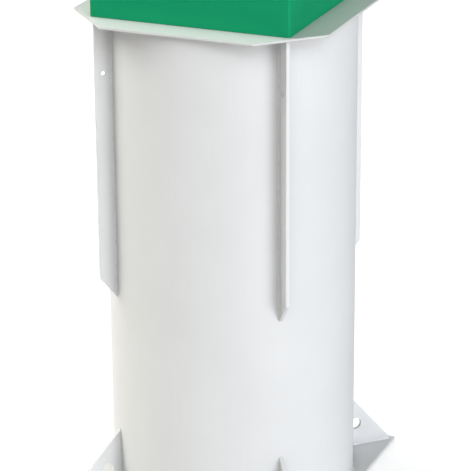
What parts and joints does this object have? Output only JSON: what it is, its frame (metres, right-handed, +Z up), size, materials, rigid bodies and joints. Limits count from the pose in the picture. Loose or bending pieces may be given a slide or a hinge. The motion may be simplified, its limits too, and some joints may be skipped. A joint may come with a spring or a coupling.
{
  "type": "septic tank",
  "caption": "Free-standing septic tank: round plastic shell on a square base plate, ribs under a cut-corner flange, and a hinged square box cover over the hatch.",
  "frame": {"origin": "centre of the base plate's underside, on the ground", "axes": "+Z up along the shell's axis; the front faces -Y; the cover's hinges are at the back, towards +Y"},
  "size_m": [1.058, 1.058, 2.282],
  "materials": {
    "tank_sheet": "satin off-white polypropylene sheet",
    "cover_sheet": "satin green polypropylene sheet",
    "hinge_steel": "stainless steel"
  },
  "bodies": {
    "tank": {"base_plate": "tank_sheet", "shell_wall_01": "tank_sheet", "shell_wall_02": "tank_sheet", "shell_wall_03": "tank_sheet", "shell_wall_04": "tank_sheet", "shell_wall_05": "tank_sheet", "shell_wall_06": "tank_sheet", "shell_wall_07": "tank_sheet", "shell_wall_08": "tank_sheet", "flange_plate": "tank_sheet", "rib_front_right": "tank_sheet", "rib_back_right": "tank_sheet", "rib_back_left": "tank_sheet", "rib_front_left": "tank_sheet", "gusset_front_right": "tank_sheet", "gusset_back_right": "tank_sheet", "gusset_back_left": "tank_sheet", "gusset_front_left": "tank_sheet", "neck_front": "cover_sheet", "neck_right": "cover_sheet", "neck_back": "cover_sheet", "neck_left": "cover_sheet", "hinge_bracket_left": "hinge_steel", "hinge_bracket_right": "hinge_steel", "hinge_pin_left": "hinge_steel", "hinge_pin_right": "hinge_steel"},
    "cover": {"cover_front": "cover_sheet", "cover_right": "cover_sheet", "cover_back": "cover_sheet", "cover_left": "cover_sheet", "cover_top": "cover_sheet", "hinge_strap_left": "hinge_steel", "hinge_strap_right": "hinge_steel"}
  },
  "joints": [
    {"name": "cover_hinge", "type": "hinge", "parent": "tank", "child": "cover", "pos_m": [0, 0.4295, 2.054], "axis": [-1, 0, 0], "range_deg": [0, 100]}
  ]
}
